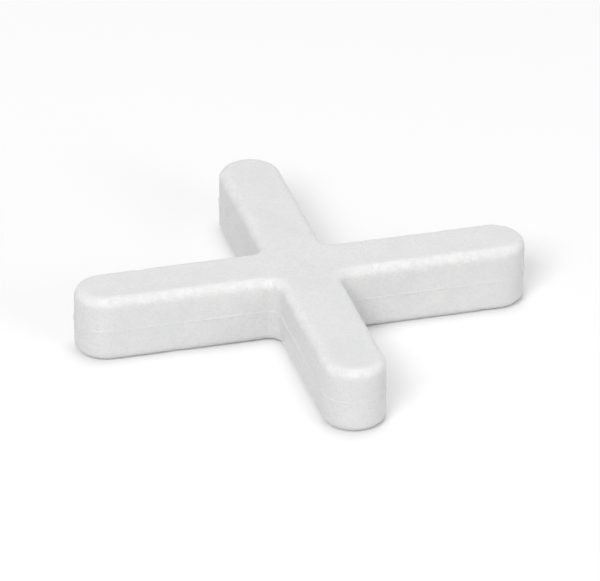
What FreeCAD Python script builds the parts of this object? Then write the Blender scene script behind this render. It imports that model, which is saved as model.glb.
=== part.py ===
import FreeCAD, Part
import os
from math import pi, radians
import Sketcher

# Tile spacer: one small moulded plastic cross that holds the joint between tiles.
# Four straight arms with full round ends lie along X and Y and cross at the centre.
# The mould parts half way up, so every flank drafts away from that plane both ways.
# Origin at the centre of the underside, +Z up, millimetres and degrees throughout.

# Driving dimensions: alias, value, what it measures
SIZES = [
    ("span_tip_to_tip", 18.0, "length over two opposite arms, at the parting plane"),
    ("gauge_width", 2.5, "width of an arm at the parting plane, which sets the joint"),
    ("body_height", 2.7, "underside to top face"),
    ("parting_height", 1.35, "underside to the plane where the mould parts"),
    ("draft_angle", 1.0, "lean of every flank away from the parting plane"),
    ("corner_radius", 0.5, "inner corner between two neighbouring arms"),
    ("rim_radius", 0.4, "rounding round the top face and round the underside"),
    ("ejector_mark_diameter", 1.6, "round mark of the ejector pin in the underside"),
    ("ejector_mark_depth", 0.06, "depth of the ejector pin's mark"),
    ("gate_width", 0.9, "width of the broken gate on the end of one arm"),
    ("gate_height", 0.55, "height of the broken gate"),
    ("gate_stub", 0.12, "how far the broken gate stands out of the arm's end"),
]

ARMS = 4
TURN = 360 / ARMS
LEVEL_TOLERANCE = 0.001

# Numbers that a sketch gives to the points of a line or arc, and to its own two axes
START, END, CENTRE = range(1, 4)
AXIS_X, AXIS_Y = range(-1, -3, -1)


# Make the sheet of driving dimensions
def add_size_sheet(doc):
    sheet = doc.addObject("Spreadsheet::Sheet", "Sizes")
    for row, (alias, value, meaning) in enumerate(SIZES, start=1):
        sheet.set(f"A{row}", meaning)
        sheet.set(f"B{row}", str(value))
        sheet.setAlias(f"B{row}", alias)
    doc.recompute()
    return sheet


# Find one of a body's own origin planes by its role
def origin_plane(body, role):
    for feature in body.Origin.OriginFeatures:
        if feature.Role == role:
            return feature
    raise RuntimeError("the body has no " + role)


# Start a sketch on one of the body's origin planes
def add_sketch(body, name, role):
    sketch = body.newObject("Sketcher::SketchObject", name)
    sketch.AttachmentSupport = [(origin_plane(body, role), "")]
    sketch.MapMode = "FlatFace"
    return sketch


# Constrain a radius, diameter or distance and bind it to the sheet
def bind(sketch, constraint, name, expression):
    index = sketch.addConstraint(constraint)
    sketch.renameConstraint(index, name)
    sketch.setExpression("Constraints." + name, expression)


# Draw the whole outline of the cross at the parting plane, as one closed loop
def draw_cross(body, sizes):
    half = sizes.gauge_width / 2
    reach = sizes.span_tip_to_tip / 2 - half
    inner = half + sizes.corner_radius
    sketch = add_sketch(body, "CrossOutline", "XY_Plane")
    sketch.setExpression("AttachmentOffset.Base.z", "Sizes.parting_height")
    up = FreeCAD.Vector(0, 0, 1)

    # Each arm is a flank, its round end, the other flank and the next inner corner
    for arm in range(ARMS):
        turn = FreeCAD.Rotation(up, arm * TURN)
        start = radians(arm * TURN)
        end_centre = turn.multVec(FreeCAD.Vector(reach, 0, 0))
        corner_centre = turn.multVec(FreeCAD.Vector(inner, inner, 0))
        right_root = turn.multVec(FreeCAD.Vector(inner, -half, 0))
        right_tip = turn.multVec(FreeCAD.Vector(reach, -half, 0))
        left_tip = turn.multVec(FreeCAD.Vector(reach, half, 0))
        left_root = turn.multVec(FreeCAD.Vector(inner, half, 0))
        round_end = Part.Circle(end_centre, up, half)
        round_corner = Part.Circle(corner_centre, up, sizes.corner_radius)
        sketch.addGeometry(Part.LineSegment(right_root, right_tip))
        sketch.addGeometry(Part.ArcOfCircle(round_end, start - pi / 2, start + pi / 2))
        sketch.addGeometry(Part.LineSegment(left_tip, left_root))
        sketch.addGeometry(Part.ArcOfCircle(round_corner, start + pi, start + 3 * pi / 2))

    # Every meeting of line and arc is smooth, and each arm lies along its axis
    edges_per_arm = 4
    for arm in range(ARMS):
        right = arm * edges_per_arm
        tip, left, corner = right + 1, right + 2, right + 3
        next_right = (right + edges_per_arm) % (ARMS * edges_per_arm)
        along_x = arm % 2 == 0
        sketch.addConstraint(Sketcher.Constraint("Tangent", right, END, tip, START))
        sketch.addConstraint(Sketcher.Constraint("Tangent", tip, END, left, START))
        sketch.addConstraint(Sketcher.Constraint("Tangent", left, END, corner, END))
        sketch.addConstraint(Sketcher.Constraint("Tangent", corner, START, next_right, START))
        for flank in (right, left):
            sketch.addConstraint(Sketcher.Constraint("Horizontal" if along_x else "Vertical", flank))
        axis = AXIS_X if along_x else AXIS_Y
        sketch.addConstraint(Sketcher.Constraint("PointOnObject", tip, CENTRE, axis))
        bind(
            sketch,
            Sketcher.Constraint("Distance", AXIS_X, START, tip, CENTRE, reach),
            f"arm_reach_{arm + 1}",
            "(Sizes.span_tip_to_tip - Sizes.gauge_width) / 2",
        )
        if arm:
            sketch.addConstraint(Sketcher.Constraint("Equal", 1, tip))
            sketch.addConstraint(Sketcher.Constraint("Equal", edges_per_arm - 1, corner))
    bind(sketch, Sketcher.Constraint("Radius", 1, half), "end_radius", "Sizes.gauge_width / 2")
    bind(
        sketch,
        Sketcher.Constraint("Radius", edges_per_arm - 1, sizes.corner_radius),
        "corner_radius",
        "Sizes.corner_radius",
    )
    return sketch


# Raise the outline both ways from the parting plane, each half leaning inwards
def mould_cross(body, outline):
    pad = body.newObject("PartDesign::Pad", "MouldedCross")
    pad.Profile = outline
    pad.SideType = "Two sides"
    pad.Type = "Length"
    pad.Type2 = "Length"
    pad.setExpression("Length", "Sizes.body_height - Sizes.parting_height")
    pad.setExpression("Length2", "Sizes.parting_height")
    pad.setExpression("TaperAngle", "-Sizes.draft_angle")
    pad.setExpression("TaperAngle2", "-Sizes.draft_angle")
    return pad


# Pick the edges that lie wholly at one height
def edges_at_height(shape, height):
    names = []
    for number, edge in enumerate(shape.Edges, start=1):
        low, high = edge.BoundBox.ZMin, edge.BoundBox.ZMax
        if abs(low - height) < LEVEL_TOLERANCE and abs(high - height) < LEVEL_TOLERANCE:
            names.append(f"Edge{number}")
    return names


# Round the rim of the top face and the rim of the underside
def round_rims(body, cross, sizes):
    rims = body.newObject("PartDesign::Fillet", "RoundedRims")
    top = edges_at_height(cross.Shape, sizes.body_height)
    bottom = edges_at_height(cross.Shape, 0)
    rims.Base = (cross, top + bottom)
    rims.setExpression("Radius", "Sizes.rim_radius")
    return rims


# Press the ejector pin's shallow round mark into the middle of the underside
def press_ejector_mark(body, sizes):
    sketch = add_sketch(body, "EjectorPin", "XY_Plane")
    radius = sizes.ejector_mark_diameter / 2
    pin = Part.Circle(FreeCAD.Vector(0, 0, 0), FreeCAD.Vector(0, 0, 1), radius)
    sketch.addGeometry(pin)
    sketch.addConstraint(Sketcher.Constraint("Coincident", 0, CENTRE, AXIS_X, START))
    bind(
        sketch,
        Sketcher.Constraint("Diameter", 0, sizes.ejector_mark_diameter),
        "pin_diameter",
        "Sizes.ejector_mark_diameter",
    )
    mark = body.newObject("PartDesign::Pocket", "EjectorMark")
    mark.Profile = sketch
    mark.Type = "Length"
    mark.Reversed = True
    mark.setExpression("Length", "Sizes.ejector_mark_depth")
    return mark


# Leave the stub of the broken gate on the end of the far arm, astride the parting plane
def leave_gate_stub(body, sizes):
    sketch = add_sketch(body, "GateBreak", "XZ_Plane")
    sketch.setExpression(
        "AttachmentOffset.Base.z",
        "-(Sizes.span_tip_to_tip / 2 + Sizes.gate_stub)",
    )
    across = sizes.gate_width / 2
    low = sizes.parting_height - sizes.gate_height / 2
    high = sizes.parting_height + sizes.gate_height / 2
    corners = [(-across, low), (across, low), (across, high), (-across, high)]
    points = [FreeCAD.Vector(x, z, 0) for x, z in corners]
    foot, right, head, left = range(len(points))
    for side, point in enumerate(points):
        sketch.addGeometry(Part.LineSegment(point, points[(side + 1) % len(points)]))
    for side in (foot, right, head, left):
        following = (side + 1) % len(points)
        sketch.addConstraint(Sketcher.Constraint("Coincident", side, END, following, START))
    sketch.addConstraint(Sketcher.Constraint("Symmetric", foot, START, foot, END, AXIS_Y))
    sketch.addConstraint(Sketcher.Constraint("Vertical", right))
    sketch.addConstraint(Sketcher.Constraint("Horizontal", head))
    sketch.addConstraint(Sketcher.Constraint("Vertical", left))
    bind(
        sketch,
        Sketcher.Constraint("DistanceX", foot, START, foot, END, sizes.gate_width),
        "gate_width",
        "Sizes.gate_width",
    )
    bind(
        sketch,
        Sketcher.Constraint("DistanceY", right, START, right, END, sizes.gate_height),
        "gate_height",
        "Sizes.gate_height",
    )
    bind(
        sketch,
        Sketcher.Constraint("DistanceY", AXIS_X, START, foot, START, low),
        "gate_foot",
        "Sizes.parting_height - Sizes.gate_height / 2",
    )

    # The stub roots in the arm's round end, as far back as the centre of its curve
    stub = body.newObject("PartDesign::Pad", "GateStub")
    stub.Profile = sketch
    stub.Type = "Length"
    stub.setExpression("Length", "Sizes.gate_stub + Sizes.gauge_width / 2")
    return stub


# Stop if anything in the document failed or the solid isn't sound
def check_document(doc, body):
    for item in doc.Objects:
        if "Invalid" in item.State or "Error" in item.State:
            raise RuntimeError(f"{item.Label} failed: {item.State}")
    if body.Shape.isNull() or not body.Shape.isValid():
        raise RuntimeError(f"{body.Label} has no sound shape")
    if len(body.Shape.Solids) != 1:
        raise RuntimeError(f"{body.Label} is not one solid")


# Stop if a feature took away or added nothing
def check_change(before, after, grows):
    change = after.Shape.Volume - before.Shape.Volume
    if (change > 0) != grows or change == 0:
        raise RuntimeError(f"{after.Label} changed the volume by {change:.4f}")


def main():
    doc = FreeCAD.newDocument("tile_spacer")
    sizes = add_size_sheet(doc)
    body = doc.addObject("PartDesign::Body", "Spacer")
    body.Label = "cross_spacer"

    outline = draw_cross(body, sizes)
    cross = mould_cross(body, outline)
    doc.recompute()
    straight_volume = Part.Face(outline.Shape.Wires[0]).Area * sizes.body_height
    if cross.Shape.Volume >= straight_volume:
        raise RuntimeError("the flanks lean outwards")

    rims = round_rims(body, cross, sizes)
    doc.recompute()
    mark = press_ejector_mark(body, sizes)
    doc.recompute()
    stub = leave_gate_stub(body, sizes)
    doc.recompute()
    body.Tip = stub
    doc.recompute()

    check_change(cross, rims, grows=False)
    check_change(rims, mark, grows=False)
    check_change(mark, stub, grows=True)
    check_document(doc, body)

    os.makedirs("parts", exist_ok=True)
    body.Shape.exportStep(os.path.join("parts", body.Label + ".step"))
    box = body.Shape.optimalBoundingBox()
    print(f"{body.Label}: {box.XLength:.3f} x {box.YLength:.3f} x {box.ZLength:.3f} mm")
    print(f"volume {body.Shape.Volume:.2f} mm3, faces {len(body.Shape.Faces)}")


main()
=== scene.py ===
from math import asin, cos, exp, pi, radians, sin, tan

import bmesh
import bpy
from bpy.props import FloatProperty, FloatVectorProperty, IntProperty, PointerProperty
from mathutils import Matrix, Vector, noise


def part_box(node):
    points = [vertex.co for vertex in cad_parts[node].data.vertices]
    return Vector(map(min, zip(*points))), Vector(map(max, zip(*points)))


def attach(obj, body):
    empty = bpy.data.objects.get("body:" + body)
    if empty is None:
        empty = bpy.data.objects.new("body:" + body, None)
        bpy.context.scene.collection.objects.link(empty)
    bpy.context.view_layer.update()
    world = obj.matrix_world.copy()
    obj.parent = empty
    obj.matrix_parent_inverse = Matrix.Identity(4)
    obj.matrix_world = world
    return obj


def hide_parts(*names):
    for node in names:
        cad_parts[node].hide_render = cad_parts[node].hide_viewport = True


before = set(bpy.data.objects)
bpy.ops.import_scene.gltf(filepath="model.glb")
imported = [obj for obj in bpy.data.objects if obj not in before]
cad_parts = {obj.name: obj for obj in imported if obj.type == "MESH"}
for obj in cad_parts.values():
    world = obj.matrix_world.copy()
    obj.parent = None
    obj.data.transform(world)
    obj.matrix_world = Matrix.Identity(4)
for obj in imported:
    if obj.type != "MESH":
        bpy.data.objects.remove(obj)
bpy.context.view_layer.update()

bl_info = {
    "name": "Moulded Tile Spacer",
    "version": (1, 0, 0),
    "blender": (4, 5, 0),
    "location": "3D View > Sidebar > Spacer",
    "description": "Moulds the skin of a cross-shaped tile spacer and sets the stage round it",
    "category": "Add Mesh",
}

CAD_NODE = "cross_spacer"
LOW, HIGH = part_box(CAD_NODE)
SLOT = "white_plastic"

ARMS = 4
RIGHT_ANGLE = pi / 2
X, Z = Vector((1, 0, 0)), Vector((0, 0, 1))

# Points of the mesh that are nearer than this are one point
MICRON = 1e-6

# Decimal places of a metre that leave hundredths of a millimetre
HUNDREDTHS = 5

# Edges that turn by more than this are shaded as sharp
SHARP = radians(38)

# The way in which the mould's upper half slips aside
SLIP_WAY = Vector((0.8, -0.6, 0))

# Each unevenness reads the noise at a shift of its own, so that no two are alike
SHIFTS = {
    "ripple": 3.7, "knock": 8.3, "flash": 5.1, "ragged": 1.9, "tear": 2.2, "fibre": 6.4,
    "taper": 4.6,
}

# How far the noise has to rise for these to begin, and for them to be whole
KNOCK_RISE = 0.62, 0.85
FLASH_RISE = 0.5, 0.8
TEAR_RISE = 0.3, 0.7

# A Mix node's sockets for colours go by number, because their names also fit other sockets
MIX_PART, MIX_FIRST, MIX_SECOND, MIX_RESULT = 0, 6, 7, 2


def metres(name, default, description):
    """Make a property that holds a length"""
    return FloatProperty(
        name=name, description=description, default=default, min=0, precision=6,
        subtype="DISTANCE", unit="LENGTH",
    )


def angle(name, default, description):
    """Make a property that holds an angle"""
    return FloatProperty(
        name=name, description=description, default=default, subtype="ANGLE", unit="ROTATION",
    )


def share(name, default, description):
    """Make a property that holds a share from none to all"""
    return FloatProperty(
        name=name, description=description, default=default, min=0, max=1, subtype="FACTOR",
    )


def factor(name, default, description):
    """Make a property that holds a factor of any size"""
    return FloatProperty(name=name, description=description, default=default, min=0)


def steps(name, default, description):
    """Make a property that holds a number of mesh steps"""
    return IntProperty(name=name, description=description, default=default, min=1)


def colour(name, default, description):
    """Make a property that holds a colour"""
    return FloatVectorProperty(
        name=name, description=description, default=default, min=0, max=1, subtype="COLOR",
    )


class SpacerSizes(bpy.types.PropertyGroup):
    """Sizes of the moulded cross"""

    arm_reach: metres(
        "Arm reach", round(-LOW.y, HUNDREDTHS), "Centre of the cross to the tip of an arm",
    )
    gauge_width: metres("Gauge", 0.0025, "Width of an arm at the parting line")
    body_height: metres("Height", round(HIGH.z, HUNDREDTHS), "Underside to top face")
    parting_height: metres("Parting height", 0.00135, "Underside to the parting line")
    draft: angle("Draft", radians(1), "Lean of the flanks away from the parting line")
    corner_radius: metres("Corner radius", 0.0005, "Inner corner between two arms")
    rim_radius: metres("Rim radius", 0.0004, "Rounding round the top face and the underside")
    pin_diameter: metres("Pin diameter", 0.0016, "Ejector pin's mark in the underside")
    pin_depth: metres("Pin depth", 0.00006, "Depth of the ejector pin's mark")
    gate_width: metres("Gate width", 0.0009, "Broken gate on the tip of the far arm")
    gate_height: metres("Gate height", 0.00055, "Height of the broken gate")
    gate_stub: metres(
        "Gate stub", round(HIGH.y + LOW.y, HUNDREDTHS), "How far the gate's torn stub stands out",
    )


class SpacerFlaws(bpy.types.PropertyGroup):
    """Small unevenness that moulding and handling leave"""

    ridge_height: metres("Parting ridge", 0.000018, "Fine ridge all round the parting line")
    ridge_width: metres("Ridge width", 0.00007, "Width of the ridge at its foot")
    flash_height: metres("Flash", 0.00005, "Most that a patch of flash adds to the ridge")
    flash_length: metres("Flash length", 0.0016, "Usual length of a patch of flash")
    mismatch: metres("Mismatch", 0.00001, "Sideways slip between the two mould halves")
    hub_sink: metres("Sink at the crossing", 0.00004, "Dip where the thick crossing shrinks")
    hub_sink_reach: metres("Reach of the sink", 0.0013, "Distance over which the dip fades")
    face_sink: metres("Sink along the arms", 0.000012, "Hollow along the middle of each face")
    ripple: metres("Ripple", 0.000006, "Faint unevenness of the whole skin")
    ripple_length: metres("Ripple length", 0.0019, "Usual distance between two ripples")
    nick_depth: metres("Nicks", 0.00003, "Depth of the knocks along the rims")
    nick_length: metres("Nick length", 0.00042, "Usual length of a knock")
    pin_burr: metres("Pin burr", 0.000012, "Lip of plastic round the ejector pin's mark")
    tear_depth: metres("Tear", 0.00006, "Unevenness of the torn gate")
    tear_taper: share("Tear taper", 0.3, "Most of the stub's section that the tear takes away")


class SpacerMesh(bpy.types.PropertyGroup):
    """Fineness of the moulded mesh"""

    face_steps: steps("Face steps", 10, "Steps from the middle of a face to its rim")
    rim_steps: steps("Rim steps", 8, "Steps round a rim")
    flank_steps: steps("Flank steps", 9, "Steps from a rim to the level of the gate")
    gate_steps: steps("Gate steps", 8, "Steps from there to the parting ridge")
    arm_steps: steps("Arm steps", 60, "Steps along an arm")
    shoulder_steps: steps("Shoulder steps", 18, "Steps round a tip, from a flank to the gate")
    tip_steps: steps("Tip steps", 26, "Steps round a tip, across the gate")
    corner_steps: steps("Corner steps", 12, "Steps round an inner corner")
    hub_rings: steps("Hub rings", 8, "Rings across the crossing's disc")
    hub_steps: steps("Hub steps", 10, "Steps between that disc and the arms")
    wall_steps: steps("Wall steps", 3, "Steps down the wall of the ejector pin's mark")
    stub_cuts: steps("Stub cuts", 3, "Cuts along the gate's stub")


class SpacerFinish(bpy.types.PropertyGroup):
    """Colours, gloss and grain of the plastic"""

    pale: colour("Pale", (0.805, 0.805, 0.803), "Plastic where it is palest")
    # This greyer colour is also the painted shade that darkens the grain's pits
    shade: colour("Shade", (0.74, 0.742, 0.745), "Plastic where it is a little greyer")
    torn: colour("Torn", (0.87, 0.87, 0.87), "Plastic that whitened as it was torn or knocked")
    dust: colour("Dust", (0.68, 0.67, 0.65), "Specks of dust")
    satin: share("Satin roughness", 0.42, "Roughness of the moulded skin")
    polished: share("Polished roughness", 0.28, "Roughness inside the ejector pin's mark")
    rubbed: share("Rubbed roughness", 0.6, "Roughness where the plastic is torn or knocked")
    uneven_gloss: share("Uneven gloss", 0.05, "How far the grain moves the roughness either way")
    flow: metres("Melt clouds", 0.0024, "Size of the faint clouds that the melt leaves")
    flow_tone: share("Cloud tone", 0.5, "How far the clouds go to the greyer shade")
    knock_tone: share("Knock tone", 0.5, "How far a knock goes to the torn colour")
    grain: metres("Grain", 0.00009, "Size of the mould's spark-eroded grain")
    grain_depth: metres("Grain depth", 0.00003, "Depth of that grain")
    # Painted shade: the grain's pits are darkened towards the greyer shade, where shade would fall
    # in them
    painted_pit_shade: share("Grain tone", 0.75, "How far the pits of the grain go to the greyer shade")
    pin_grain: share("Pin grain", 0.1, "Share of the grain that the ejector pin's mark has")
    torn_grain: factor("Torn grain", 2.0, "Times the grain's depth that a tear adds to it")
    turning: metres("Turning", 0.00006, "Distance between the tool rings on the ejector pin's end")
    turning_depth: share("Turning depth", 0.06, "Depth of those rings as a share of the grain's")
    scuff_spacing: metres("Scuff spacing", 0.0011, "Usual distance between two scratches")
    scuff_width: metres("Scuff width", 0.00002, "Width of a scratch")
    scuff_depth: share("Scuff depth", 0.3, "Depth of a scratch as a share of the grain's")
    scuff_cover: share("Scuff cover", 0.5, "Share of the places that have a scratch")
    dust_spacing: metres("Dust spacing", 0.0005, "Usual distance between two places for a speck")
    dust_cover: share("Dust cover", 0.1, "Share of those places that have a speck")
    refraction: factor("Refraction", 1.5, "Index of refraction of the plastic")
    translucence: share("Translucence", 0.5, "Share of the light that wanders inside")
    milkiness: metres("Milkiness", 0.0005, "How far that light wanders")
    wander: colour("Wander", (1.0, 0.95, 0.88), "Share of that distance for each colour of light")


class SpacerStage(bpy.types.PropertyGroup):
    """Camera, floor and lamps"""

    azimuth: angle("Azimuth", radians(-15), "Camera's turn round the spacer from straight in front")
    elevation: angle("Elevation", radians(29), "Camera's height above the horizon")
    lens: FloatProperty(
        name="Lens", description="Focal length", default=400, min=1,
        subtype="DISTANCE_CAMERA", unit="CAMERA",
    )
    view_width: metres("View width", 0.0232, "Width that the picture covers at the spacer")
    floor_width: metres("Floor", 1.6, "Width of the pale floor")
    floor_shade: share("Floor shade", 0.72, "Light that the floor gives back to the spacer")
    floor_glow: share("Floor glow", 0.022, "White that the floor adds where it is seen")
    sky_level: share("Sky", 0.448, "Strength of the even light from all round")
    key_level: share("Key lamp", 0.455, "Light from the front left on what faces it")
    fill_level: share("Fill lamp", 0.138, "Light from the front right on what faces it")
    top_level: share("Top lamp", 0.22, "Light from overhead on what faces it")
    lamp_distance: metres("Lamp distance", 0.5, "Distance from each lamp to the spacer")


def sweep(bm, geometry, count, way=(0, 0, 0), centre=(0, 0, 0), axis=Z, swing=0):
    """Draw points and edges out in even steps, along a straight way or round through a swing"""
    swept = bmesh.ops.spin(
        bm, geom=geometry, cent=centre, axis=axis, dvec=Vector(way) / count, angle=swing,
        steps=count, use_merge=False, use_duplicate=False,
    )
    return swept["geom_last"]


def draw_to(bm, pen, target, count):
    """Draw the pen's point on to a target"""
    return sweep(bm, pen, count, way=Vector(target) - pen[0].co)


def face_edge(sizes, rise):
    """Find how far from the middle of the arm a face ends, on top of a flank of that rise"""
    lean = tan(sizes.draft) * (rise - sizes.rim_radius)
    return sizes.gauge_width / 2 - lean - sizes.rim_radius / cos(sizes.draft)


def draw_section(bm, sizes, flaws, mesh, start):
    """Draw half an arm's section in one stroke, from the underside's middle to the top's"""
    half = sizes.gauge_width / 2
    height, parting, rim = sizes.body_height, sizes.parting_height, sizes.rim_radius
    swing = RIGHT_ANGLE - sizes.draft
    low = face_edge(sizes, parting)
    high = face_edge(sizes, height - parting)
    ridge = flaws.ridge_width / 2
    gate = sizes.gate_height / 2

    def flank(level):
        """Find the flank's point at a level"""
        return start, tan(sizes.draft) * abs(parting - level) - half, level

    pen = bmesh.ops.create_vert(bm, co=(start, 0, 0))["vert"]
    pen = draw_to(bm, pen, (start, -low, 0), mesh.face_steps)
    pen = sweep(bm, pen, mesh.rim_steps, centre=(start, -low, rim), axis=X, swing=-swing)
    pen = draw_to(bm, pen, flank(parting - gate), mesh.flank_steps)
    pen = draw_to(bm, pen, flank(parting - ridge), mesh.gate_steps)
    pen = draw_to(bm, pen, (start, -half - flaws.ridge_height, parting), 1)
    pen = draw_to(bm, pen, flank(parting + ridge), 1)
    pen = draw_to(bm, pen, flank(parting + gate), mesh.gate_steps)
    pen = draw_to(bm, pen, flank(height - rim * (1 - sin(sizes.draft))), mesh.flank_steps)
    pen = sweep(bm, pen, mesh.rim_steps, centre=(start, -high, height - rim), axis=X, swing=-swing)
    draw_to(bm, pen, (start, 0, height), mesh.face_steps)


def mark_section(bm, sizes):
    """Note which of the section's points are on the flank, a rim or the parting ridge"""
    skin = bm.verts.layers.float.new("skin")
    rim = bm.verts.layers.float.new("rim")
    parting = bm.verts.layers.float.new("parting")
    for vert in bm.verts:
        below = vert.co.z < sizes.parting_height
        rise = sizes.parting_height if below else sizes.body_height - sizes.parting_height
        vert[skin] = float(-vert.co.y > face_edge(sizes, rise) - MICRON)
        vert[parting] = float(abs(vert.co.z - sizes.parting_height) < MICRON)

        # A rim's mark is 1 half way round it and fades to none at both its edges
        from_flank = (sizes.gauge_width / 2 + vert.co.y) / sizes.rim_radius
        from_face = min(vert.co.z, sizes.body_height - vert.co.z) / sizes.rim_radius
        vert[rim] = 2 * max(0, 1 - from_flank) * max(0, 1 - from_face)


def sweep_arm(bm, sizes, flaws, mesh):
    """Sweep the section out along an arm, round its tip, back, and round the next inner corner"""
    half = sizes.gauge_width / 2
    root = half + sizes.corner_radius
    end = sizes.arm_reach - flaws.ridge_height - half
    draw_section(bm, sizes, flaws, mesh, root)
    mark_section(bm, sizes)
    pen = sweep(bm, bm.verts[:] + bm.edges[:], mesh.arm_steps, way=X * (end - root))

    # The tip turns in three stretches, so that its middle one is as wide as the gate
    gate = 2 * asin(sizes.gate_width / sizes.gauge_width)
    shoulder = (pi - gate) / 2
    for swing, count in (
        (shoulder, mesh.shoulder_steps), (gate, mesh.tip_steps), (shoulder, mesh.shoulder_steps),
    ):
        pen = sweep(bm, pen, count, centre=(end, 0, 0), swing=swing)
    pen = sweep(bm, pen, mesh.arm_steps, way=-X * (end - root))

    # Only the flank and rims go round the corner, because the crossing's faces come later
    skin = bm.verts.layers.float["skin"]
    verts = [part for part in pen if isinstance(part, bmesh.types.BMVert) and part[skin]]
    edges = [
        part for part in pen
        if isinstance(part, bmesh.types.BMEdge) and all(vert[skin] for vert in part.verts)
    ]
    sweep(bm, verts + edges, mesh.corner_steps, centre=(root, root, 0), swing=-RIGHT_ANGLE)


def repeat_arms(bm):
    """Set the arm and its corner round the crossing and join them"""
    bmesh.ops.spin(
        bm, geom=bm.verts[:] + bm.edges[:] + bm.faces[:], cent=(0, 0, 0), axis=Z,
        dvec=(0, 0, 0), angle=RIGHT_ANGLE * (ARMS - 1), steps=ARMS - 1,
        use_merge=False, use_duplicate=True,
    )
    bmesh.ops.remove_doubles(bm, verts=bm.verts[:], dist=MICRON)


def open_edges(bm, level):
    """Find the edges of the holes left in the face at one level"""
    return [
        edge for edge in bm.edges
        if edge.is_boundary and all(abs(vert.co.z - level) < MICRON for vert in edge.verts)
    ]


def draw_in(bm, rim, radius, level, count):
    """Draw an open rim in to a circle round the middle, in even steps"""
    for step in range(count):
        swept = bmesh.ops.extrude_edge_only(bm, edges=rim)["geom"]
        verts = {part for part in swept if isinstance(part, bmesh.types.BMVert)}
        rim = [
            part for part in swept
            if isinstance(part, bmesh.types.BMEdge) and verts.issuperset(part.verts)
        ]
        for vert in verts:
            target = Vector((*vert.co.xy.normalized() * radius, level))
            vert.co = vert.co.lerp(target, 1 / (count - step))
    return rim


def mould_crossing(bm, sizes, flaws, mesh):
    """Close the top of the crossing, and the underside with the ejector pin's mark"""
    pin, burr = sizes.pin_diameter / 2, flaws.pin_burr
    lip_foot, lip_crest, floor = pin + 3 * burr, pin + burr, pin - burr

    # Each face is drawn in through circles, given by their radius, level and steps
    top = (
        (pin, sizes.body_height, mesh.hub_steps),
        (0, sizes.body_height, mesh.hub_rings),
    )
    underside = (
        (lip_foot, 0, mesh.hub_steps),
        (lip_crest, -burr, 1),
        (pin, 0, 1),
        (floor, sizes.pin_depth, mesh.wall_steps),
        (0, sizes.pin_depth, mesh.hub_rings),
    )
    for face_level, circles in ((sizes.body_height, top), (0, underside)):
        rim = open_edges(bm, face_level)
        for radius, level, count in circles:
            rim = draw_in(bm, rim, radius, level, count)
    bmesh.ops.remove_doubles(bm, verts=bm.verts[:], dist=MICRON)


def fade(value, start, end):
    """Go smoothly from none to all as a value goes from start to end"""
    part = min(1, max(0, (value - start) / (end - start)))
    return part * part * (3 - 2 * part)


def uneven(place, length, kind):
    """Read a kind of smooth unevenness from none to all, with swells of that length, at a place"""
    shift = SHIFTS[kind]
    return 0.5 + 0.5 * noise.noise(place / length + Vector((shift, shift, shift)))


def shrink_skin(bm, sizes, flaws):
    """Draw the skin in where thick plastic shrinks, and knock its rims"""
    rim = bm.verts.layers.float["rim"]
    half = sizes.gauge_width / 2
    middle = sizes.body_height / 2
    bm.normal_update()
    for vert in bm.verts:
        place = vert.co.copy()
        upright = abs(vert.normal.z)
        outward = place.xy.length / flaws.hub_sink_reach
        sink = flaws.hub_sink * exp(-outward ** 2) * upright

        # Faces are hollow across the arm, and flanks from their top to their foot
        across = min(abs(place.x), abs(place.y)) / half
        rise = abs(place.z - middle) / middle
        hollow = 1 - min(1, across if upright > 0.5 else rise) ** 2
        sink += flaws.face_sink * hollow
        sink += flaws.ripple * uneven(place, flaws.ripple_length, "ripple")
        knock = fade(uneven(place, flaws.nick_length, "knock"), *KNOCK_RISE)
        sink += flaws.nick_depth * knock * vert[rim]
        vert.co = place - vert.normal * sink


def raise_parting(bm, sizes, flaws):
    """Slip the mould's upper half aside and let a little flash out along the parting line"""
    parting = bm.verts.layers.float["parting"]
    slip = flaws.mismatch * SLIP_WAY
    for vert in bm.verts:
        if vert[parting]:
            patch = fade(uneven(vert.co, flaws.flash_length, "flash"), *FLASH_RISE)
            ragged = uneven(vert.co, flaws.nick_length, "ragged")
            outward = Vector((vert.normal.x, vert.normal.y, 0)).normalized()
            vert.co += outward * flaws.flash_height * patch * ragged
        elif vert.co.z > sizes.parting_height:
            vert.co += slip

        # Neither may take the cross past its span
        for axis in (0, 1):
            vert.co[axis] = min(sizes.arm_reach, max(-sizes.arm_reach, vert.co[axis]))


def draw_gate(bm, sizes, mesh):
    """Draw the gate's stub out of the far arm's tip, with a mark that grows towards its end"""
    torn = bm.verts.layers.float.new("torn")
    root = sizes.arm_reach - sizes.gauge_width / 2
    gate_faces = []
    for face in bm.faces:
        middle = face.calc_center_median()
        inside = abs(middle.x) < sizes.gate_width / 2
        level = abs(middle.z - sizes.parting_height)
        if middle.y > root and inside and level < sizes.gate_height / 2:
            gate_faces.append(face)
    stub = bmesh.ops.extrude_face_region(bm, geom=gate_faces)["geom"]
    bmesh.ops.delete(bm, geom=gate_faces, context="FACES")
    end = {part for part in stub if isinstance(part, bmesh.types.BMVert)}
    walls = [edge for edge in bm.edges if len(end.intersection(edge.verts)) == 1]
    for vert in end:
        vert.co.y = sizes.arm_reach + sizes.gate_stub
        vert[torn] = 1
    bmesh.ops.subdivide_edges(bm, edges=walls, cuts=mesh.stub_cuts, use_grid_fill=True)


def tear_gate(bm, sizes, flaws):
    """Leave the gate's stub ragged, deeper in some places, and smaller than the gate was"""
    torn = bm.verts.layers.float["torn"]
    tear_length, taper_length, fibre_length = [sizes.gate_height / part for part in (2, 3, 7)]
    for vert in bm.verts:
        if vert[torn]:
            tear = fade(uneven(vert.co, tear_length, "tear"), *TEAR_RISE)
            fibre = uneven(vert.co, fibre_length, "fibre")
            taper = flaws.tear_taper * vert[torn] * uneven(vert.co, taper_length, "taper")
            vert.co.x -= vert.co.x * taper * sizes.gate_height / sizes.gate_width
            vert.co.y -= flaws.tear_depth * vert[torn] * (tear + fibre / 2)
            vert.co.z -= (vert.co.z - sizes.parting_height) * taper


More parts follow.
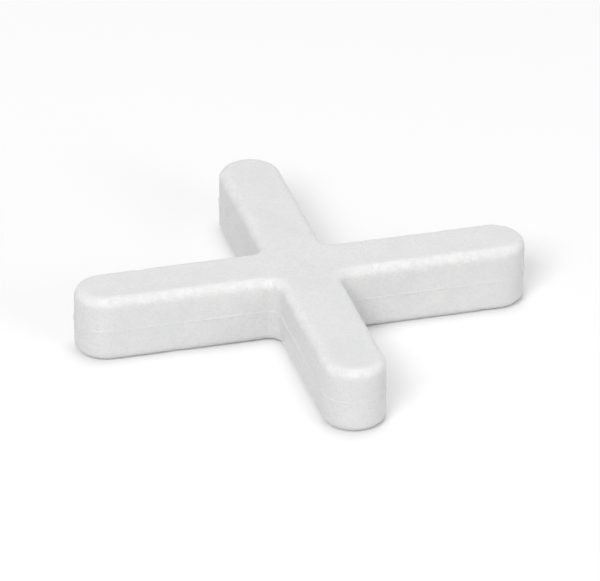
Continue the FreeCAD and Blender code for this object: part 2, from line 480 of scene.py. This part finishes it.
def mark_pin(bm, sizes):
    """Note which points lie inside the ejector pin's mark"""
    pin = bm.verts.layers.float.new("pin")
    for vert in bm.verts:
        inside = vert.co.xy.length < sizes.pin_diameter / 2 - MICRON
        vert[pin] = float(inside and vert.co.z < sizes.parting_height)


def make_mesh(bm, name):
    """Turn what was modelled into a named mesh"""
    data = bpy.data.meshes.new(name)
    bm.to_mesh(data)
    bm.free()
    return data


def mould_skin(sizes, flaws, mesh):
    """Make the whole skin of the cross as one closed mesh"""
    bm = bmesh.new()
    sweep_arm(bm, sizes, flaws, mesh)
    repeat_arms(bm)
    mould_crossing(bm, sizes, flaws, mesh)
    bmesh.ops.recalc_face_normals(bm, faces=bm.faces[:])
    mark_pin(bm, sizes)
    shrink_skin(bm, sizes, flaws)
    raise_parting(bm, sizes, flaws)
    draw_gate(bm, sizes, mesh)
    tear_gate(bm, sizes, flaws)
    data = make_mesh(bm, "spacer_moulding")
    data.shade_smooth()
    data.set_sharp_from_angle(angle=SHARP)
    return data


def put_in(tree, node, inputs):
    """Link a node's inputs to other sockets, or set them to values"""
    for name, value in inputs.items():
        if isinstance(value, bpy.types.NodeSocket):
            tree.links.new(value, node.inputs[name])
        else:
            node.inputs[name].default_value = value


def add_node(tree, kind, inputs=None, **settings):
    """Add a shader node with its settings, and set or link its inputs"""
    node = tree.nodes.new("ShaderNode" + kind)
    for name, value in settings.items():
        setattr(node, name, value)
    put_in(tree, node, inputs or {})
    return node


def calculate(tree, operation, first, second=0.0):
    """Add one step of arithmetic and give its result"""
    node = add_node(tree, "Math", {0: first, 1: second}, operation=operation)
    return node.outputs["Value"]


def ramp(tree, value, low, high, start=0.0, end=1.0):
    """Go smoothly from start to end as a value goes from low to high"""
    node = add_node(
        tree, "MapRange",
        {"Value": value, "From Min": low, "From Max": high, "To Min": start, "To Max": end},
        interpolation_type="SMOOTHSTEP",
    )
    return node.outputs["Result"]


def blend(tree, part, first, second):
    """Mix two colours by a share"""
    first, second = [
        value if isinstance(value, bpy.types.NodeSocket) else (*value, 1)
        for value in (first, second)
    ]
    inputs = {MIX_PART: part, MIX_FIRST: first, MIX_SECOND: second}
    return add_node(tree, "Mix", inputs, data_type="RGBA").outputs[MIX_RESULT]


def start_group(name, inputs, output):
    """Start a node group with named inputs and one output"""
    group = bpy.data.node_groups.new(name, "ShaderNodeTree")
    for socket, kind in inputs.items():
        group.interface.new_socket(socket, in_out="INPUT", socket_type="NodeSocket" + kind)
    group.interface.new_socket(output, in_out="OUTPUT", socket_type="NodeSocketFloat")
    given = group.nodes.new("NodeGroupInput").outputs
    result = group.nodes.new("NodeGroupOutput").inputs
    return group, given, result


def spark_grain():
    """Height of the fine bumps and pits that spark erosion leaves in a mould"""
    inputs = {"Place": "Vector", "Size": "Float"}
    group, given, result = start_group("Spark Grain", inputs, "Height")
    bump_share, pit_share, pit_scale = 0.8, 0.2, 0.6
    fine = calculate(group, "DIVIDE", 1.0, given["Size"])
    coarse = calculate(group, "MULTIPLY", fine, pit_scale)
    bumps = add_node(
        group, "TexNoise",
        {"Vector": given["Place"], "Scale": fine, "Detail": 2.0, "Roughness": 0.5},
    )
    pits = add_node(
        group, "TexVoronoi", {"Vector": given["Place"], "Scale": coarse, "Smoothness": 0.5},
        feature="SMOOTH_F1",
    )
    bumps = calculate(group, "MULTIPLY", bumps.outputs["Fac"], bump_share)
    pits = calculate(group, "MULTIPLY", pits.outputs["Distance"], pit_share)
    group.links.new(calculate(group, "ADD", bumps, pits), result["Height"])
    return group


def find_cell(group, given):
    """Find the random cell that a place is in: its random colour, and the way from its middle"""
    inverse = calculate(group, "DIVIDE", 1.0, given["Spacing"])
    cells = add_node(
        group, "TexVoronoi", {"Vector": given["Place"], "Scale": inverse}, feature="F1",
    )
    way = add_node(
        group, "VectorMath", {0: given["Place"], 1: cells.outputs["Position"]},
        operation="SUBTRACT",
    )
    return cells.outputs["Color"], way.outputs["Vector"]


def find_reach(group, given, way):
    """Find the length of the way from a cell's middle, as a share of the cells' spacing"""
    length = add_node(group, "VectorMath", {0: way}, operation="LENGTH").outputs["Value"]
    return calculate(group, "DIVIDE", length, given["Spacing"])


def hairline_scuffs():
    """Mask of the short straight scratches that handling leaves"""
    inputs = {"Place": "Vector", "Spacing": "Float", "Width": "Float", "Cover": "Float"}
    group, given, result = start_group("Hairline Scuffs", inputs, "Scuffs")
    chance, way = find_cell(group, given)
    parts = add_node(group, "SeparateColor", {"Color": chance}).outputs

    # Each cell's scratch runs through its middle, and its random colour turns it
    axis = add_node(group, "VectorMath", {0: chance, 1: (0.5, 0.5, 0.5)}, operation="SUBTRACT")
    turned = add_node(
        group, "VectorRotate",
        {
            "Vector": way, "Axis": axis.outputs["Vector"],
            "Angle": calculate(group, "MULTIPLY", parts["Blue"], 2 * pi),
        },
        rotation_type="AXIS_ANGLE",
    )
    across = add_node(group, "SeparateXYZ", {0: turned.outputs["Vector"]}).outputs["Y"]
    across = calculate(group, "ABSOLUTE", across)
    line = ramp(group, across, low=0.0, high=given["Width"], start=1.0, end=0.0)

    # It has faded before it reaches the next cell
    reach = find_reach(group, given, way)
    length = ramp(group, reach, low=0.2, high=0.5, start=1.0, end=0.0)
    line = calculate(group, "MULTIPLY", line, length)
    kept = calculate(group, "LESS_THAN", parts["Red"], given["Cover"])
    group.links.new(calculate(group, "MULTIPLY", line, kept), result["Scuffs"])
    return group


def dust_specks():
    """Mask of separate small specks"""
    inputs = {"Place": "Vector", "Spacing": "Float", "Cover": "Float"}
    group, given, result = start_group("Dust Specks", inputs, "Specks")
    largest = 0.08
    chance, way = find_cell(group, given)
    parts = add_node(group, "SeparateColor", {"Color": chance}).outputs
    radius = calculate(group, "MULTIPLY", parts["Green"], largest)
    speck = calculate(group, "LESS_THAN", find_reach(group, given, way), radius)
    kept = calculate(group, "LESS_THAN", parts["Red"], given["Cover"])
    group.links.new(calculate(group, "MULTIPLY", speck, kept), result["Specks"])
    return group


def start_material(name):
    """Start a material with a shader of its own and give its tree and shader"""
    material = bpy.data.materials.new(name)
    material.use_nodes = True
    return material, material.node_tree, material.node_tree.nodes["Principled BSDF"]


def find_marks(tree, place, finish):
    """Find where the plastic has grain, scuffs, specks, knocks, the torn gate or the pin's mark"""

    def mask(group, **inputs):
        """Put a group into the material and give its mask"""
        return add_node(tree, "Group", {"Place": place, **inputs}, node_tree=group).outputs[0]

    marks = {
        name: add_node(tree, "Attribute", attribute_name=name).outputs["Fac"]
        for name in ("rim", "torn", "pin")
    }
    marks["grain"] = mask(spark_grain(), Size=finish.grain)
    marks["scuffs"] = mask(
        hairline_scuffs(), Spacing=finish.scuff_spacing, Width=finish.scuff_width,
        Cover=finish.scuff_cover,
    )

    # Dust lies on what faces up
    normal = add_node(tree, "NewGeometry").outputs["Normal"]
    upright = add_node(tree, "SeparateXYZ", {0: normal}).outputs["Z"]
    specks = mask(dust_specks(), Spacing=finish.dust_spacing, Cover=finish.dust_cover)
    marks["specks"] = calculate(tree, "MULTIPLY", specks, ramp(tree, upright, low=0.2, high=0.8))

    # Rims are knocked in patches, six to a melt cloud
    patches = add_node(tree, "TexNoise", {"Vector": place, "Scale": 6 / finish.flow, "Detail": 3.0})
    patches = ramp(tree, patches.outputs["Fac"], low=0.46, high=0.62)
    marks["knocked"] = calculate(tree, "MULTIPLY", marks["rim"], patches)
    return marks


def colour_plastic(tree, place, marks, finish):
    """Mix the plastic's colour: grey in clouds, painted shade in the grain's pits, white where it
    is hurt, with some dust
    """
    flow = add_node(
        tree, "TexNoise",
        {"Vector": place, "Scale": 1 / finish.flow, "Detail": 4.0, "Distortion": 1.4},
    )
    clouds = ramp(tree, flow.outputs["Fac"], low=0.35, high=0.7, end=finish.flow_tone)
    # Painted shade: the pits of the grain are darkened towards the greyer shade
    pits = ramp(tree, marks["grain"], low=0.36, high=0.56, start=finish.painted_pit_shade, end=0.0)
    white = calculate(tree, "MULTIPLY", marks["knocked"], finish.knock_tone)
    white = calculate(tree, "MAXIMUM", marks["torn"], white)
    base = blend(tree, clouds, finish.pale, finish.shade)
    base = blend(tree, pits, base, finish.shade)
    base = blend(tree, white, base, finish.torn)
    return blend(tree, marks["specks"], base, finish.dust)


def dull_plastic(tree, marks, finish):
    """Work out the roughness: satin, smoother in the pin's mark and rougher where it is rubbed"""
    spread = finish.uneven_gloss
    gloss = ramp(tree, marks["pin"], low=0.0, high=1.0, start=finish.satin, end=finish.polished)
    spread = ramp(tree, marks["grain"], low=0.36, high=0.6, start=spread, end=-spread)
    gloss = calculate(tree, "ADD", gloss, spread)
    rubbed = calculate(tree, "MAXIMUM", marks["knocked"], marks["scuffs"])
    rubbed = calculate(tree, "MAXIMUM", marks["torn"], rubbed)
    rubbed = calculate(tree, "MULTIPLY", rubbed, finish.rubbed)
    return calculate(tree, "MAXIMUM", gloss, rubbed)


def emboss_plastic(tree, place, marks, finish):
    """Work out the relief: grain that is coarser on a tear, the pin's tool rings, and scuffs"""
    smooth = ramp(tree, marks["pin"], low=0.0, high=1.0, start=1.0, end=finish.pin_grain)
    coarse = calculate(tree, "MULTIPLY", marks["torn"], finish.torn_grain)
    coarse = calculate(tree, "ADD", smooth, coarse)
    relief = calculate(tree, "MULTIPLY", marks["grain"], coarse)

    # A Wave texture's rings stand pi / 10 apart at a scale of 1
    rings = add_node(
        tree, "TexWave", {"Vector": place, "Scale": pi / 10 / finish.turning, "Distortion": 0.4},
        wave_type="RINGS", rings_direction="Z",
    )
    depth = calculate(tree, "MULTIPLY", marks["pin"], finish.turning_depth)
    turned = calculate(tree, "MULTIPLY", rings.outputs["Fac"], depth)
    relief = calculate(tree, "ADD", relief, turned)
    scratched = calculate(tree, "MULTIPLY", marks["scuffs"], finish.scuff_depth)
    relief = calculate(tree, "SUBTRACT", relief, scratched)
    bump = add_node(
        tree, "Bump", {"Strength": 1.0, "Distance": finish.grain_depth, "Height": relief},
    )
    return bump.outputs["Normal"]


def finish_plastic(finish):
    """Make the milky white plastic"""
    material, tree, shader = start_material(SLOT)
    place = add_node(tree, "TexCoord").outputs["Object"]
    marks = find_marks(tree, place, finish)
    put_in(tree, shader, {
        "Base Color": colour_plastic(tree, place, marks, finish),
        "Roughness": dull_plastic(tree, marks, finish),
        "Normal": emboss_plastic(tree, place, marks, finish),
        "IOR": finish.refraction,
        "Subsurface Weight": finish.translucence,
        "Subsurface Radius": finish.wander,
        "Subsurface Scale": finish.milkiness,
    })
    return material


def seen_directly(tree):
    """Tell rays that reach the camera straight, by a mirror or through glass"""
    path = add_node(tree, "LightPath").outputs
    mirrored = calculate(tree, "MAXIMUM", path["Is Glossy Ray"], path["Is Transmission Ray"])
    return calculate(tree, "MAXIMUM", path["Is Camera Ray"], mirrored)


def finish_floor(stage):
    """Make the floor look white to the camera while it gives back a plain pale light"""
    material, tree, shader = start_material("pale_floor")
    seen = seen_directly(tree)
    put_in(tree, shader, {
        "Base Color": blend(tree, seen, (stage.floor_shade,) * 3, (1, 1, 1)),
        "Emission Color": blend(tree, seen, (0, 0, 0), (stage.floor_glow,) * 3),
        "Emission Strength": 1.0,
        "Roughness": 0.9,
        "Specular IOR Level": 0.0,
    })
    return material


def add_object(name, data):
    """Put a new object into the scene"""
    item = bpy.data.objects.new(name, data)
    bpy.context.scene.collection.objects.link(item)
    return item


def lay_floor(stage):
    """Lay a wide pale floor a hair below the spacer"""
    bm = bmesh.new()
    bmesh.ops.create_grid(bm, x_segments=1, y_segments=1, size=stage.floor_width / 2)
    bmesh.ops.translate(bm, verts=bm.verts, vec=-Z * 2 * MICRON)
    floor = add_object("pale_floor", make_mesh(bm, "pale_floor"))
    floor.data.materials.append(finish_floor(stage))


def light_sky(stage):
    """Light the world evenly and show it white"""
    world = bpy.data.worlds.new("pale_sky")
    world.use_nodes = True
    tree = world.node_tree
    tree.nodes.clear()
    even = add_node(tree, "Background", {"Color": (1, 1, 1, 1), "Strength": stage.sky_level})
    white = add_node(tree, "Background", {"Color": (1, 1, 1, 1), "Strength": 1.0})
    inputs = {0: seen_directly(tree), 1: even.outputs[0], 2: white.outputs[0]}
    both = add_node(tree, "MixShader", inputs)
    add_node(tree, "OutputWorld", {"Surface": both.outputs[0]})
    bpy.context.scene.world = world


def aim(item, azimuth, elevation, distance):
    """Stand a lamp or camera at a distance from the spacer and turn it towards its middle"""
    back = Vector((sin(azimuth) * cos(elevation), -cos(azimuth) * cos(elevation), sin(elevation)))
    item.location = (LOW + HIGH) / 2 + back * distance
    item.rotation_euler = back.to_track_quat("Z", "Y").to_euler()


def hang_lamp(name, level, distance, azimuth, elevation, width):
    """Hang a soft square lamp that gives a level of light to whatever faces it"""
    data = bpy.data.lights.new(name, "AREA")
    data.size = width

    # A matt white surface shows the lamp's power over the square of pi times its distance
    data.energy = level * (pi * distance) ** 2
    lamp = add_object(name, data)
    lamp.visible_camera = False
    aim(lamp, radians(azimuth), radians(elevation), distance)


def set_camera(stage):
    """Set the camera where its picture is as wide as wanted, and let it see near and far"""
    data = bpy.data.cameras.new("camera")
    data.lens = stage.lens
    distance = stage.view_width * data.lens / data.sensor_width
    data.clip_start, data.clip_end = distance / 100, distance * 100
    camera = add_object("camera", data)
    aim(camera, stage.azimuth, stage.elevation, distance)
    bpy.context.scene.camera = camera


class MouldSpacer(bpy.types.Operator):
    """Mould the skin of the cross over the CAD solid"""

    bl_idname = "spacer.mould"
    bl_label = "Mould Spacer"

    def execute(self, context):
        scene = context.scene
        data = mould_skin(scene.spacer_sizes, scene.spacer_flaws, scene.spacer_mesh)
        data.materials.append(finish_plastic(scene.spacer_finish))
        moulding = add_object("spacer_moulding", data)
        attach(moulding, "root")
        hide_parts(CAD_NODE)
        return {"FINISHED"}


class SetStage(bpy.types.Operator):
    """Set the floor, the sky, the lamps and the camera round the spacer"""

    bl_idname = "spacer.set_stage"
    bl_label = "Set Stage"

    def execute(self, context):
        stage = context.scene.spacer_stage
        away = stage.lamp_distance
        lay_floor(stage)
        light_sky(stage)
        hang_lamp("key_lamp", stage.key_level, away, azimuth=-36, elevation=40, width=0.2)
        hang_lamp("fill_lamp", stage.fill_level, away, azimuth=30, elevation=20, width=0.2)
        hang_lamp("top_lamp", stage.top_level, away, azimuth=150, elevation=80, width=0.24)
        set_camera(stage)
        context.scene.view_settings.view_transform = "Standard"
        return {"FINISHED"}


SETTINGS = {
    "spacer_sizes": SpacerSizes,
    "spacer_flaws": SpacerFlaws,
    "spacer_mesh": SpacerMesh,
    "spacer_finish": SpacerFinish,
    "spacer_stage": SpacerStage,
}


class SpacerPanel(bpy.types.Panel):
    """Lists the steps that build the spacer and its stage"""

    bl_idname = "VIEW3D_PT_tile_spacer"
    bl_label = "Tile Spacer"
    bl_space_type = "VIEW_3D"
    bl_region_type = "UI"
    bl_category = "Spacer"

    def draw(self, context):
        for operator in (MouldSpacer, SetStage):
            self.layout.operator(operator.bl_idname)
        for name, kind in SETTINGS.items():
            box = self.layout.box()
            for prop in kind.__annotations__:
                box.prop(getattr(context.scene, name), prop)


CLASSES = (*SETTINGS.values(), MouldSpacer, SetStage, SpacerPanel)


def register():
    """Add the classes and the scene's settings"""
    for item in CLASSES:
        bpy.utils.register_class(item)
    for name, settings in SETTINGS.items():
        setattr(bpy.types.Scene, name, PointerProperty(type=settings))


def unregister():
    """Take the settings and the classes away again"""
    for name in SETTINGS:
        delattr(bpy.types.Scene, name)
    for item in reversed(CLASSES):
        bpy.utils.unregister_class(item)


def main():
    """Build the spacer and its stage"""
    register()
    bpy.ops.spacer.mould()
    bpy.ops.spacer.set_stage()


if __name__ == "__main__":
    main()
